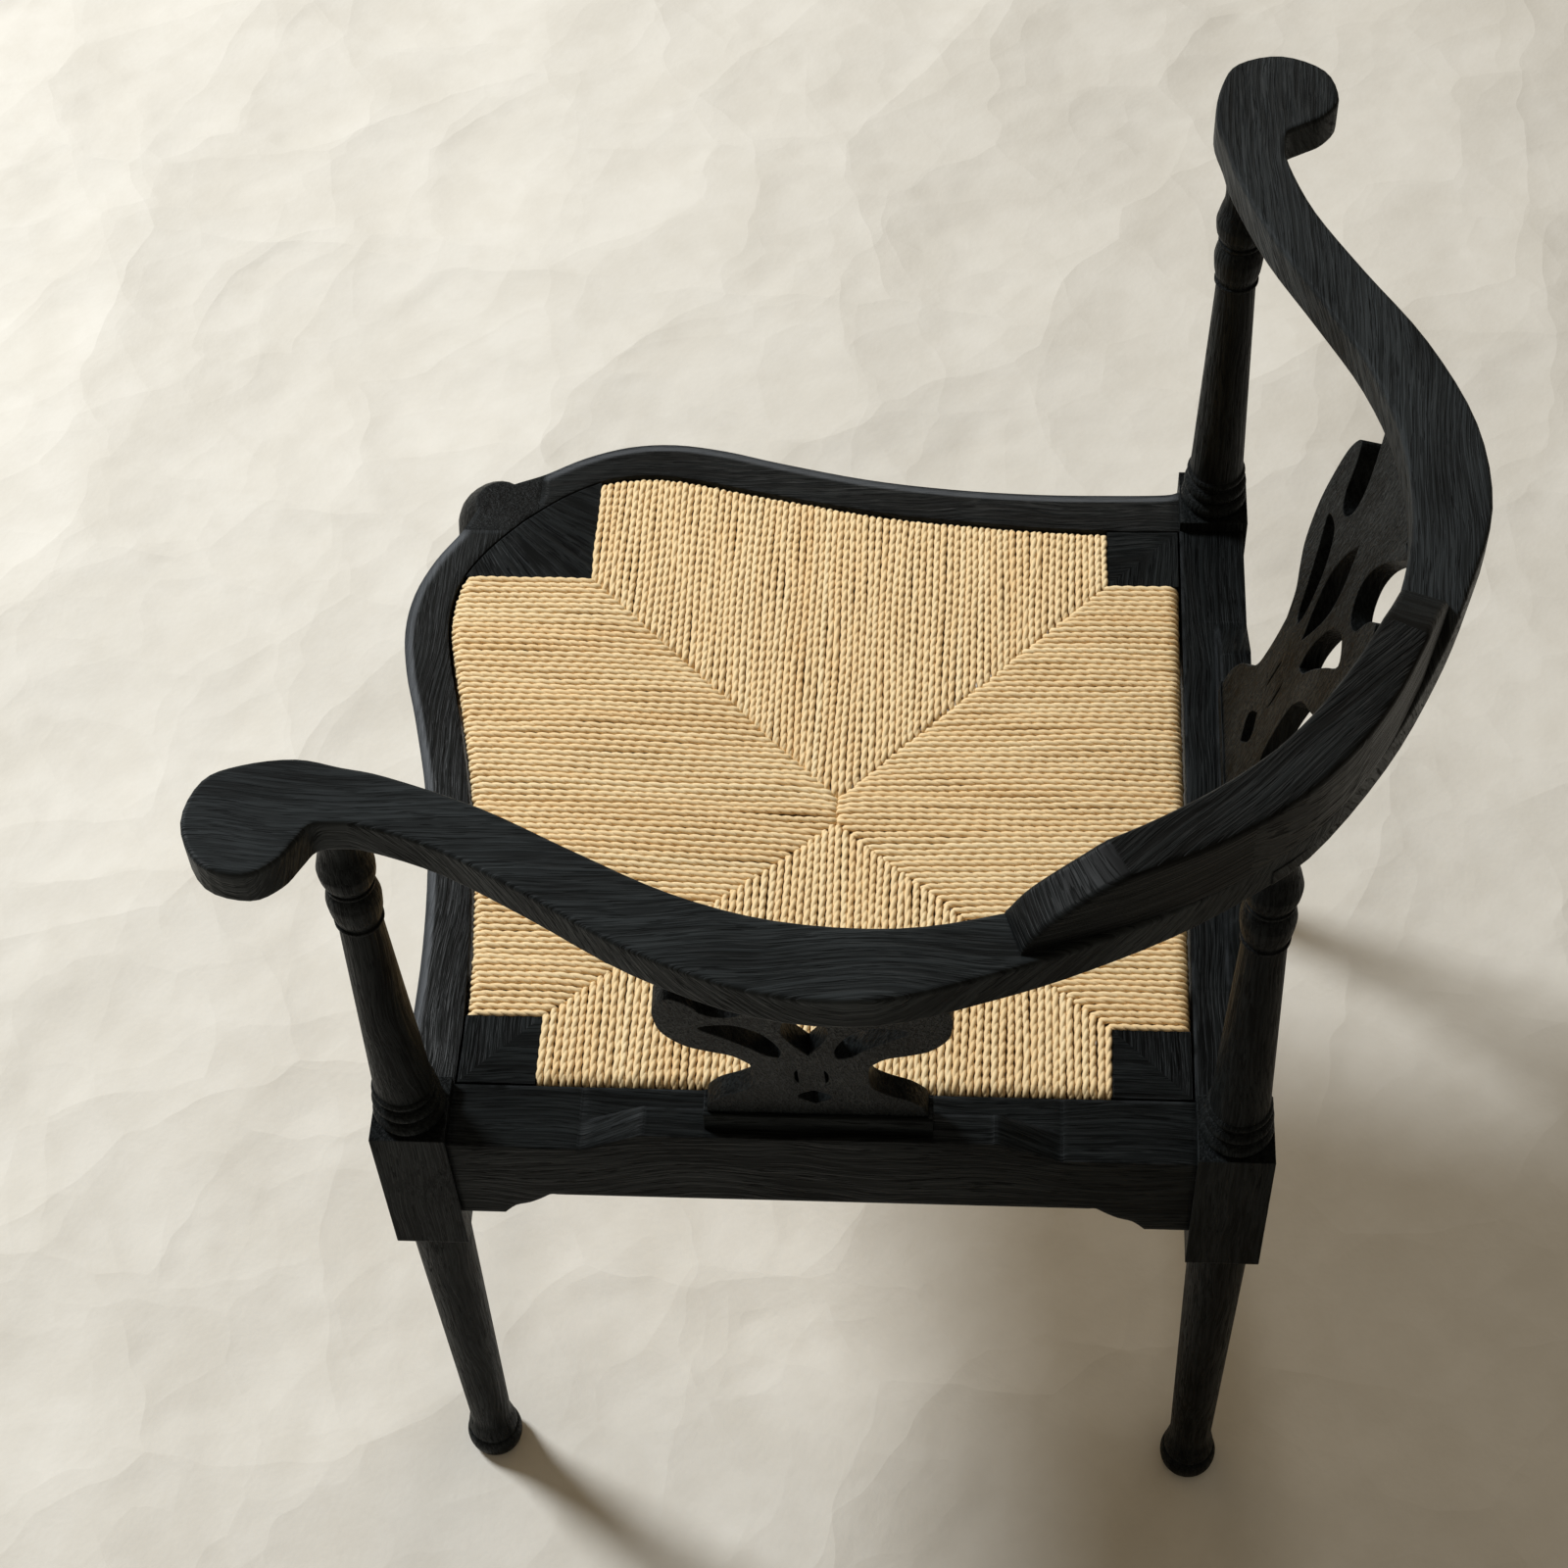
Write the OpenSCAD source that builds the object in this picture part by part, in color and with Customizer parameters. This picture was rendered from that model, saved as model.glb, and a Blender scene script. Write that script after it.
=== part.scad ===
// Corner chair in black stained oak, with a drop-in seat of woven paper cord.
// Millimetres. +Z is up, the front corner points to -Y and x = 0 is the plane of symmetry.

/* [Seat square] */
// Distance between leg axes along each side of the seat
post_spacing = 456; // [440:1:475]
// Side of the square block on each post
block_w = 42; // [40:0.5:46]
// Height of the block tops above the floor
block_top = 430; // [415:1:445]
// Length of each block
block_len = 121; // [112:1:132]
// Rounding of a block's lower edges
block_round = 4; // [2:0.5:6]

/* [Turned legs] */
// Leg radius just under the block
leg_top_r = 17.75; // [16.5:0.25:19]
// Leg radius at the ankle
ankle_r = 13.2; // [12:0.2:14.5]
// Height of the ankle
ankle_h = 42; // [38:1:50]
// Radius of the round pad foot
foot_r = 17.9; // [17:0.1:20]

/* [Turned columns] */
// Column radius above its base rings
column_foot_r = 16.5; // [15.5:0.25:17]
// Column radius under its upper bulges
column_top_r = 11.5; // [11:0.25:12.5]
// Radius of the largest base ring
base_ring_r = 20.4; // [19.5:0.1:20.8]
// Radius of the lower bulge
bulge_r = 14.3; // [13.5:0.1:15.5]
// Radius of the cup under the arm
cup_r = 14.9; // [14:0.1:16]
// Radius of the round tenon in the arm
column_tenon_r = 7.5; // [6:0.5:8]
// Length of the round tenon in the arm
column_tenon_l = 16; // [12:1:18]

/* [Seat frame] */
// Drop from the block tops to the top of the rails
frame_drop = 8; // [6:0.5:10]
// How far the rear rails stand back from the block faces
rail_recess = 2.5; // [1:0.5:4]
// Height of the rails between their brackets
rail_h = 53; // [48:1:58]
// Extra height of the brackets beside the legs
bracket_drop = 22.5; // [19:0.5:27]
// Length of a bracket's flat foot from the block
bracket_flat = 25; // [20:1:35]
// Length of a bracket's ogee
bracket_run = 28; // [22:1:36]
// Rise of the platform that carries the shoe
platform_h = 16.5; // [14:0.5:20]
// Depth of that platform from the rail's face
platform_d = 18.5; // [17:0.5:22]
// Half length of the flat of the platform
platform_half = 99; // [90:1:110]
// Length of the ramp at each end of the platform
ramp_run = 32; // [26:1:40]
// Thickness of the rail tenons
tenon_t = 12; // [10:0.5:13]
// Length of the rail tenons
tenon_l = 13; // [10:0.5:13]
// Shoulder above and below a rail tenon
tenon_shoulder = 10; // [8:1:14]
// Clearance round every tenon and screw
fit = 0.2; // [0.1:0.05:0.3]

/* [Front leg] */
// Distance from the front corner's inner line to the end of a front rail
stump_w = 28; // [26:1:32]
// Reach of the knee in front of the leg's axis
knee_reach = 29.5; // [26:0.5:32]
// Half width of the knee
knee_w = 27; // [24:0.5:29]
// Half width of the shaft above the front foot
shaft_w = 12.8; // [12:0.2:15]
// Radius of the front pad foot
front_foot_r = 29.5; // [27:0.5:31]

/* [Arms and crest] */
// Height of the arms' underside
arm_bottom = 709; // [690:1:725]
// Thickness of the arms
arm_t = 24; // [21:0.5:28]
// Half length of the lap joint behind the back post
lap = 24; // [18:1:30]
// Height of the crest above the arms
crest_h = 40; // [32:1:46]
// Rounding of the arms' edges
arm_round = 2.5; // [1:0.25:4]
// Angle from the back post to each end of the crest
crest_end = 26.5; // [24:0.5:28]
// Angle taken up by the ramp at each end
crest_ramp = 9; // [7:0.5:11]
// Rounding of the crest's upper edges
crest_round = 3; // [1:0.25:5]

/* [Splats and shoes] */
// Thickness of a splat
splat_t = 12; // [10:0.5:13]
// How far the splat's head stands inside the post circle
splat_head_in = 17.5; // [16:0.5:19]
// Half width of a splat across its ears
ear_w = 73.5; // [68:0.5:78]
// Half width of the waist
waist_w = 31; // [28:0.5:36]
// Half width of the foot
splat_foot_w = 60; // [56:1:60]
// Half width of the head under the arm
head_w = 56; // [52:1:58]
// Depth that a splat is let into the shoe and the arm
splat_in = 8; // [5:0.5:10]
// Half length of a shoe
shoe_w = 62.5; // [62:0.5:68]
// Height of a shoe
shoe_h = 16.5; // [14:0.5:19]
// Depth of a shoe from front to back
shoe_d = 15.5; // [15.5:0.5:17]

/* [Glue blocks and screws] */
// Length of a glue block along each rail
glue_block_w = 90; // [80:1:96]
// Height of a glue block
glue_block_h = 24; // [18:1:24]
// Radius of a screw's shank
screw_r = 2.25; // [1.75:0.25:2.5]
// Radius of a screw's head
screw_head_r = 4.25; // [3.75:0.25:4.75]

/* [Drop-in seat] */
// Gap between the seat frame and the rails
seat_gap = 1.5; // [1:0.1:2]
// Height of the gap under the resting seat
seat_rest = 0.3; // [0.2:0.05:0.4]
// Thickness of the seat's corner pieces
seat_t = 26; // [25:0.5:28]
// Width of a visible corner piece
seat_corner = 45.5; // [42:0.5:52]
// Thickness of the wrapped cord layer
cord_layer = 5; // [4:0.25:5]
// Gap between the wrapped cord and the rails
weave_gap = 2; // [1.5:0.25:3]
// How far the wrapped cord stands above the rails
weave_proud = 2; // [1:0.25:3]
// Dip of the weave at the middle
weave_dip = 6; // [3:0.5:7]
// Width of the sticks that the cord wraps
stick_w = 20; // [17:0.5:22]
// Height of those sticks
stick_h = 14; // [12:0.5:14]
// Height of the stuffing between the cord layers
stuffing_h = 5; // [3:0.5:5]

/* [Hidden] */
$fn = 64;
half = post_spacing / 2;
post_r = post_spacing / sqrt(2);
opening = half - block_w / 2;
block_bottom = block_top - block_len;
frame_top = block_top - frame_drop;
rail_bottom = frame_top - rail_h;
bracket_bottom = rail_bottom - bracket_drop;
face = half + block_w / 2 - rail_recess;
tenon_top = frame_top - tenon_shoulder;
tenon_bottom = rail_bottom - bracket_drop + tenon_shoulder;
platform_top = frame_top + platform_h;
shoe_top = platform_top + shoe_h;
arm_top = arm_bottom + arm_t;
// Play at the end of a blind mortise
mortise_end = 0.4;
// How far a rail's tenon reaches back into the rail itself
tenon_root = 1;
// Rear tenons lie near a post's outer face and front tenons near its inner face, so they miss each other
rear_tenon_y = half;
front_tenon_y = half - 7;
stump_tenon_y = half + 4;

// The splat's mid-plane runs from the shoe to the arm's underside
splat_foot_y = half + 5;
splat_head_y = post_r - splat_head_in;
splat_rake = atan((splat_head_y - splat_foot_y) / (arm_bottom - shoe_top));
splat_len = (arm_bottom - shoe_top) / cos(splat_rake);

// Levels of the drop-in seat
seat_bottom = frame_top - seat_t;
weave_top = frame_top + weave_proud;
stick_top = weave_top - cord_layer;
stick_bottom = stick_top - stick_h;
weave_bottom = stick_bottom - cord_layer;
glue_block_top = seat_bottom - seat_rest;
seat_inner = opening - seat_corner;
stick_out = weave_gap + cord_layer;
stick_tenon_l = 12;
stick_tenon_inset = 6;
stick_tenon_h = 6;

black = [0.11, 0.11, 0.12];
inner_wood = [0.20, 0.18, 0.16];
straw = [0.82, 0.69, 0.48];
card = [0.66, 0.56, 0.42];
steel = [0.55, 0.55, 0.57];

// Curves

function nth(p, i) = p[max(0, min(len(p) - 1, i))];

function curve(a, b, c, d, t) =
    0.5 * (2 * b + (c - a) * t + (2 * a - 5 * b + 4 * c - d) * t * t + (3 * b - a - 3 * c + d) * t * t * t);

// A smooth open line through the points of p, with n steps from each point to the next
function spline(p, n = 5) = [
    for (i = [0:len(p) - 2])
        for (j = [0:n - 1])
            curve(nth(p, i - 1), nth(p, i), nth(p, i + 1), nth(p, i + 2), j / n),
    p[len(p) - 1]
];

function arc(centre, r, from, to, n = 8) =
    [for (i = [0:n]) let (a = from + (to - from) * i / n) centre + r * [cos(a), sin(a)]];

function reversed(p) = [for (i = [len(p) - 1:-1:0]) p[i]];

function unit(v) = v / norm(v);

// The outline p, drawn anticlockwise, moved in by d on every side
function inset(p, d) = [
    for (i = [0:len(p) - 1])
        let (
            n = len(p),
            e = unit(p[i] - p[(i + n - 1) % n]),
            f = unit(p[(i + 1) % n] - p[i]),
            m = [-e[1], e[0]],
            k = [-f[1], f[0]]
        )
        p[i] + d * (m + k) / (1 + m * k)
];

// The curves of the plan were measured with the posts 456 mm apart, and stretch with the real spacing
plan = post_spacing / 456;

// A polar point measured from the left post's bearing and from the circle through the post axes
function polar(bearing, out) = (post_r + plan * out) * [cos(bearing), sin(bearing)];

// Plan of the seat frame, in the square's own frame: the left post is at [half, half],
// the back post at [-half, half] and the front corner at [half, -half]

module square_frame() rotate([0, 0, -45]) children();

// Points beside the right front rail, measured from the right post or from the front corner
function by_post(along, out) = [plan * along - half, -half - plan * out];
function by_corner(along, out) = [half - plan * along, -half - plan * out];
function across(p) = [-p[1], -p[0]];
function flip_side(p) = reversed([for (q = p) across(q)]);

front_inner = spline([
    [-opening, -opening], by_post(60, -21.5), by_post(109, -19.5), by_post(159, -15), by_post(209, -9),
    by_corner(173, 6), by_corner(133, 15.5), by_corner(102, 20), by_corner(72, 16.5),
    by_corner(44, 2), by_corner(19, -19)
], 4);

front_outer = spline([
    [-opening, -half - 11], by_post(30, 8.5), by_post(60, 7.5), by_post(110, 7.5), by_post(165, 11),
    by_post(220, 18.5), by_corner(180, 31.5), by_corner(145, 41), by_corner(112, 46), by_corner(82, 43.5),
    by_corner(54, 33.5), by_corner(30, 19.5), by_corner(14, 12.5), by_corner(0, 6)
], 4);

front_rail_outline = flip_side(concat(front_outer, reversed(front_inner)));

opening_outline = concat(
    front_inner,
    [for (i = [1:len(front_inner) - 1]) flip_side(front_inner)[i]],
    [[-opening, opening]]
);

frame_outline = concat(
    front_outer,
    flip_side(front_outer),
    [[half, half], [-half, half], [-half, -half]]
);

module slab(low, high) translate([0, 0, low]) linear_extrude(high - low) children();

// A box from one corner to the opposite one
module span(low, high) translate(low) cube(high - low);

function wall_face(i, j, n) = [i * n + j, i * n + (j + 1) % n, (i + 1) * n + (j + 1) % n, (i + 1) * n + j];

function walls(rings, n) = [for (i = [0:rings - 2]) for (j = [0:n - 1]) wall_face(i, j, n)];

// A solid through rings of points that all have as many points, closed by its end rings
module lofted(rings) {
    n = len(rings[0]);
    last = (len(rings) - 1) * n;
    polyhedron(
        points = [for (r = rings) each r],
        faces = concat([[for (j = [n - 1:-1:0]) j]], walls(len(rings), n), [[for (j = [0:n - 1]) last + j]])
    );
}

// Faces across a bent band, between the points that lie opposite each other on its two edges
function band_faces(n, from) = [
    for (i = [0:(n - 3) / 2])
        i < (n - 3) / 2
            ? [from + i, from + i + 1, from + n - 2 - i, from + n - 1 - i]
            : [from + i, from + i + 1, from + i + 2]
];

// A plate whose outline p runs out along a bent band and back, with an odd number of points
module bent_plate(p, low, high, round) {
    n = len(p);
    top_edge = [for (a = [90:-30:0]) [high - round * (1 - sin(a)), round * (1 - cos(a))]];
    low_edge = [for (a = [0:30:90]) [low + round * (1 - sin(a)), round * (1 - cos(a))]];
    levels = concat(top_edge, low_edge);
    polyhedron(
        points = [for (l = levels) for (q = inset(p, l[1])) [q[0], q[1], l[0]]],
        faces = concat(
            [for (f = band_faces(n, 0)) reversed(f)],
            walls(len(levels), n),
            band_faces(n, (len(levels) - 1) * n)
        )
    );
}

// Turned posts

leg_profile = concat(
    [[0, 0]],
    spline([[foot_r - 3, 0], [foot_r - 0.9, 4], [foot_r, 11], [foot_r - 0.9, 17], [foot_r - 2.6, 19.5]], 4),
    spline([[foot_r - 2.2, 20.5], [foot_r - 2.2, 24], [ankle_r + 1.4, 31], [ankle_r + 0.3, 37], [ankle_r, ankle_h]], 4),
    [[leg_top_r, block_bottom], [leg_top_r, block_bottom + block_round + 1], [0, block_bottom + block_round + 1]]
);

// Heights above the block: two base rings, a fillet, then the taper
column_base = concat(
    arc([base_ring_r - 6, 6], 6, -90, 90),
    arc([base_ring_r - 6, 17.8], 5, -75, 75),
    arc([column_foot_r - 1.4, 28], 3, -60, 75, 6)
);

// Heights below the arm: the ball, the cup and the neck that flares into the arm
column_head = concat(
    [[column_top_r, arm_bottom - 86], [column_top_r + 1.4, arm_bottom - 85.5],
        [column_top_r + 1.4, arm_bottom - 84]],
    spline([[column_top_r + 0.2, arm_bottom - 83.5], [bulge_r - 0.8, arm_bottom - 76],
        [bulge_r, arm_bottom - 67]], 4),
    spline([[bulge_r, arm_bottom - 65], [bulge_r - 1.1, arm_bottom - 59],
        [column_top_r - 0.1, arm_bottom - 54.8]], 4),
    [[column_top_r + 1.2, arm_bottom - 54.3], [column_top_r + 1.2, arm_bottom - 52.9]],
    spline([[column_top_r, arm_bottom - 52.4], [cup_r - 0.8, arm_bottom - 46.5],
        [cup_r, arm_bottom - 39.5]], 4),
    spline([[cup_r, arm_bottom - 38], [cup_r - 1.8, arm_bottom - 30], [column_top_r - 0.4, arm_bottom - 21],
        [column_top_r, arm_bottom - 9], [column_top_r + 1.6, arm_bottom]], 4)
);

column_profile = concat(
    [[0, block_top - 1], [base_ring_r - 6, block_top - 1]],
    [for (p = column_base) [p[0], p[1] + block_top]],
    [[column_foot_r, block_top + 31]],
    column_head,
    [[column_tenon_r, arm_bottom], [column_tenon_r, arm_bottom + column_tenon_l],
        [0, arm_bottom + column_tenon_l]]
);

// Side view of a block, with its lower edges rounded
module block_side() {
    w = block_w / 2;
    polygon(concat(
        arc([w - block_round, block_round], block_round, -90, 0, 5),
        [[w, block_len], [-w, block_len]],
        arc([block_round - w, block_round], block_round, 180, 270, 5)
    ));
}

module block_body() translate([0, 0, block_bottom]) intersection() {
    translate([0, block_w / 2, 0]) rotate([90, 0, 0]) linear_extrude(block_w) block_side();
    translate([-block_w / 2, 0, 0]) rotate([90, 0, 90]) linear_extrude(block_w) block_side();
}

module turned_post() {
    rotate_extrude() polygon(leg_profile);
    block_body();
    rotate_extrude() polygon(column_profile);
}

// Tenons and mortises of the rails, cut from the same values; grow is 0 for a tenon

module tenon(grow = 0)
    span([grow > 0 ? -grow : -tenon_root, -tenon_t / 2 - grow, tenon_bottom - grow],
        [tenon_l + (grow > 0 ? mortise_end : 0), tenon_t / 2 + grow, tenon_top + grow]);

// The rear left rail's tenon at the left post, and the front left rail's at both of its ends
module rear_tenon(grow = 0) translate([opening, rear_tenon_y, 0]) tenon(grow);
module front_tenon(grow = 0) translate([front_tenon_y, opening, 0]) rotate([0, 0, 90]) tenon(grow);
module stump_tenon(grow = 0)
    translate([stump_tenon_y, stump_w - half, 0]) rotate([0, 0, -90]) tenon(grow);

module mirror_side(on = true) mirror([on ? 1 : 0, 0, 0]) children();
// Swaps the two sides of the square about the line from the back post to the front corner
module swap_sides() mirror([1, 1, 0]) children();

module post(x, y) difference() {
    translate([x, y, 0]) turned_post();
    rear_tenon(fit);
    mirror([1, 0, 0]) rear_tenon(fit);
    front_tenon(fit);
    glue_screws(fit);
    swap_sides() {
        rear_tenon(fit);
        mirror([1, 0, 0]) rear_tenon(fit);
        front_tenon(fit);
    }
}

module left_post() color(black) square_frame() post(half, half);
module back_post() color(black) square_frame() post(-half, half);
module right_post() color(black) square_frame() post(-half, -half);

// Front leg: a stump between the front rails, with a knee that swells outwards,
// a slim shaft and a pad foot. A station is [height, front, back, half width, squareness],
// with front and back measured from the leg's axis towards the corner.

knee_stations = [
    [frame_top, 11.5, -20.5, 14.5, 2.3],
    [frame_top - 1.5, 13, -21, 16, 2.3],
    [frame_top - 10, knee_reach - 7.5, -21, knee_w - 7, 2.3],
    [frame_top - 22, knee_reach - 1.3, -21, knee_w - 3.5, 2.2],
    [frame_top - 34, knee_reach, -22, knee_w - 1, 2.15],
    [frame_top - 54, knee_reach - 3, -24, knee_w, 2.1],
    [frame_top - 78, knee_reach - 10, -27, knee_w - 1.5, 2.05]
];

// How far down the shaft a station lies is a share of its free height
function shaft_z(share) = 60 + share * (frame_top - 78 - 60);

shaft_stations = [
    [shaft_z(0.90), 13, -30, knee_w - 3.5, 2],
    [shaft_z(0.78), 6, -32, knee_w - 6.5, 2],
    [shaft_z(0.62), 0, -33, shaft_w + 4.5, 2],
    [shaft_z(0.45), -4, -32.5, shaft_w + 2, 2],
    [shaft_z(0.28), -6, -31, shaft_w + 0.5, 2],
    [shaft_z(0.13), -4.5, -29, shaft_w, 2],
    [shaft_z(0), 0, -26.5, shaft_w + 0.6, 2]
];

foot_stations = [
    [40, 9, -25.5, front_foot_r - 12.5, 2],
    [27, 20, -27, front_foot_r - 5.5, 2],
    [18, front_foot_r - 2, -28.5, front_foot_r - 1.5, 2],
    [12, block_w / sqrt(2), -front_foot_r, front_foot_r, 2],
    [5, front_foot_r - 2, 2 - front_foot_r, front_foot_r - 2, 2],
    [0, front_foot_r - 6, 6 - front_foot_r, front_foot_r - 6, 2]
];

leg_stations = spline(concat(knee_stations, shaft_stations, foot_stations), 2);
leg_sides = 24;

function signed_power(v, e) = sign(v) * pow(abs(v), e);

// A closed ring of points round one station; the leg's axis is the origin and -Y the front
function station_ring(s) = [
    for (i = [0:leg_sides - 1])
        let (a = 360 * i / leg_sides, e = 2 / s[4])
        [s[3] * signed_power(cos(a), e), -(s[1] + s[2]) / 2 + (s[1] - s[2]) / 2 * signed_power(sin(a), e), s[0]]
];

module cabriole() lofted([for (s = leg_stations) station_ring(s)]);

stump_end = half - stump_w;

module front_leg() color(black) difference() {
    union() {
        translate([0, -post_r, 0]) cabriole();
        square_frame() intersection() {
            slab(bracket_bottom, frame_top) polygon(frame_outline);
            span([stump_end, -2 * half, 0], [2 * half, -stump_end, block_top]);
        }
    }
    square_frame() {
        stump_tenon(fit);
        swap_sides() stump_tenon(fit);
        slab(bracket_bottom - 1, frame_top + 1) polygon(opening_outline);
        glue_screws(fit);
    }
}

// Rails

// Lower edge of a rail from its middle to a post, ending in a bracket
function bracket_edge(end) = spline([
    [end - bracket_flat - bracket_run - 4, rail_bottom],
    [end - bracket_flat - bracket_run, rail_bottom],
    [end - bracket_flat - 0.8 * bracket_run, rail_bottom - 0.22 * bracket_drop],
    [end - bracket_flat - 0.55 * bracket_run, rail_bottom - 0.45 * bracket_drop],
    [end - bracket_flat - 0.25 * bracket_run, rail_bottom - 0.62 * bracket_drop],
    [end - bracket_flat, rail_bottom - bracket_drop]
], 3);

function rail_front(start, end, top) = concat(
    bracket_edge(end),
    [[end, bracket_bottom], [end, top], [start, top], [start, bracket_bottom]],
    reversed([for (p = bracket_edge(-start)) [-p[0], p[1]]])
);

platform_edge = spline([
    [platform_half + ramp_run + 4, frame_top], [platform_half + ramp_run, frame_top],
    [platform_half + 0.5 * ramp_run, frame_top + 0.5 * platform_h], [platform_half, platform_top],
    [platform_half - 4, platform_top]
], 4);

rear_rail_front = concat(
    bracket_edge(opening),
    [[opening, bracket_bottom], [opening, frame_top]],
    platform_edge,
    reversed([for (p = platform_edge) [-p[0], p[1]]]),
    [[-opening, frame_top], [-opening, bracket_bottom]],
    reversed([for (p = bracket_edge(opening)) [-p[0], p[1]]])
);

module rear_rail_body() {
    difference() {
        translate([0, face, 0]) rotate([90, 0, 0]) linear_extrude(face - opening) polygon(rear_rail_front);
        span([-opening, opening - 1, frame_top], [opening, face - platform_d, platform_top + 1]);
    }
    rear_tenon();
    mirror([1, 0, 0]) rear_tenon();
}

module rear_rail() square_frame() difference() {
    rear_rail_body();
    glue_screws(fit);
}
module rear_rail_left() color(black) rear_rail();
module rear_rail_right() color(black) mirror([1, 0, 0]) rear_rail();

// The front left rail: its plan between the serpentine outlines, and its height from the side view
module front_rail() square_frame() difference() {
    union() {
        intersection() {
            slab(bracket_bottom - 1, frame_top) polygon(front_rail_outline);
            translate([opening / 2, 0, 0]) rotate([90, 0, 90])
                linear_extrude(half) polygon(rail_front(-stump_end, opening, frame_top + 1));
        }
        front_tenon();
        stump_tenon();
    }
    glue_screws(fit);
}

module front_rail_left() color(black) front_rail();
module front_rail_right() color(black) mirror([1, 0, 0]) front_rail();

// Arms and crest. Each point is a bearing from the left post and a distance outside the post circle.

arm_inner = [
    polar(98, -11), polar(90, -10), polar(81.5, -11.5), polar(73, -13.4), polar(63.5, -17.2), polar(54, -19.6),
    polar(43.3, -26), polar(33.4, -34), polar(23, -42), polar(12, -41.5), polar(2.6, -26.5)
];

arm_scroll = [
    polar(-1.2, -14), polar(-4.6, 0), polar(-6.9, 23), polar(-7.4, 43), polar(-5.1, 63.5),
    polar(-1.3, 70.5), polar(1.8, 59), polar(2.6, 43), polar(2.2, 29), polar(1.9, 18.5)
];

arm_outer = [
    polar(2.9, 10.5), polar(5.2, 1), polar(11.8, -10.5), polar(21, -10.5), polar(31.5, 1.5), polar(42, 14.5),
    polar(51.5, 19.5), polar(60.5, 15), polar(69, 13.5), polar(79, 15), polar(90, 18.5), polar(98, 16)
];

half_arm_outline = spline(concat(arm_inner, arm_scroll, arm_outer), 4);
lap_level = arm_bottom + arm_t / 2;

// One arm up to the lap that it shares with the other; free is the level range it leaves there
module arm_body(free) difference() {
    bent_plate(half_arm_outline, arm_bottom, arm_top, arm_round);
    span([-post_r, 0, arm_bottom - 1], [-lap, 2 * post_r, arm_top + 1]);
    span([-lap - 1, 0, free[0]], [lap, 2 * post_r, free[1]]);
}

module arm_holes() {
    for (x = [-post_r, post_r]) translate([x, 0, arm_bottom - 1])
        cylinder(r = column_tenon_r + fit, h = column_tenon_l + 1 + mortise_end);
    translate([0, post_r, arm_bottom - 1])
        cylinder(r = column_tenon_r + fit, h = column_tenon_l + 1 + mortise_end);
    for (side = [0, 1]) mirror([side, 0, 0]) splat_board(fit) splat_head(fit);
    crest_screw_set(fit);
}

module arm_left() color(black) difference() {
    arm_body([arm_bottom - 1, lap_level]);
    arm_holes();
}

module arm_right() color(black) difference() {
    mirror([1, 0, 0]) arm_body([lap_level, arm_top + 1]);
    arm_holes();
}

// Half of the crest from one end to the middle: angle from the back post, outer and inner edge, height
crest_stations = spline([
    [crest_end, 8, -16.4, 0.02 * crest_h], [crest_end - 0.09 * crest_ramp, 8, -16.2, 0.22 * crest_h],
    [crest_end - 0.22 * crest_ramp, 8.2, -15.7, 0.42 * crest_h],
    [crest_end - 0.4 * crest_ramp, 8.6, -15, 0.6 * crest_h],
    [crest_end - 0.6 * crest_ramp, 9.2, -14.2, 0.76 * crest_h],
    [crest_end - 0.78 * crest_ramp, 10, -13.6, 0.88 * crest_h],
    [crest_end - crest_ramp, 11.3, -13, crest_h], [crest_end - crest_ramp - 2, 12.2, -12.7, crest_h],
    [10, 15.6, -11.7, crest_h], [5, 18, -10.4, crest_h], [0, 19, -9.5, crest_h]
], 3);

function crest_ring(bearing, s) =
    let (o = s[1], i = s[2], h = min(s[3], crest_h), q = min(crest_round, 0.45 * h))
    [for (p = concat([[o, 0]], arc([o - q, h - q], q, 0, 90, 3), arc([i + q, h - q], q, 90, 180, 3), [[i, 0]]))
        concat(polar(bearing, p[0]), arm_top + p[1])];

module crest_rail() color(black) difference() {
    lofted(concat(
        [for (s = crest_stations) crest_ring(90 - s[0], s)],
        [for (i = [len(crest_stations) - 2:-1:0]) crest_ring(90 + crest_stations[i][0], crest_stations[i])]
    ));
    crest_screw_set(fit);
}

// Screws

// A countersunk screw whose head is flush with z = 0 and whose shank points up
module screw(length, grow = 0) {
    rotate_extrude() polygon([
        [0, -grow], [screw_head_r + grow, -grow], [screw_head_r + grow, 0.5],
        [screw_r + grow, 0.5 + screw_head_r - screw_r], [screw_r + grow, length - screw_r],
        [0, length + grow]
    ]);
}

crest_screw_bearings = [7.5, 15.5];
crest_screw_in = 3.5;
crest_screw_l = arm_t + 0.6 * crest_h;

module crest_screw_set(grow = 0)
    for (b = crest_screw_bearings) for (side = [-1, 1])
        translate(concat(polar(90 + side * b, crest_screw_in), arm_bottom)) screw(crest_screw_l, grow);

module crest_screws() color(steel) crest_screw_set();

glue_screw_z = glue_block_top - glue_block_h / 2;
glue_screw_bite = 8;

// One screw along the diagonal of each rear glue block into its post, and one into the front leg
module glue_screws(grow = 0) {
    length = glue_block_w / sqrt(2) + glue_screw_bite;
    for (turn = [0, 90, 180]) rotate([0, 0, turn])
        translate([opening - glue_block_w / 2, opening - glue_block_w / 2, glue_screw_z])
            rotate([0, 90, 45]) screw(length, grow);
    translate([front_block_face, -front_block_face, glue_screw_z])
        rotate([0, 90, -45]) screw((half - 19 - front_block_face) * sqrt(2) + glue_screw_bite, grow);
}

module glue_block_screws() color(steel) square_frame() glue_screws();

// Splats and shoes

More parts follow.
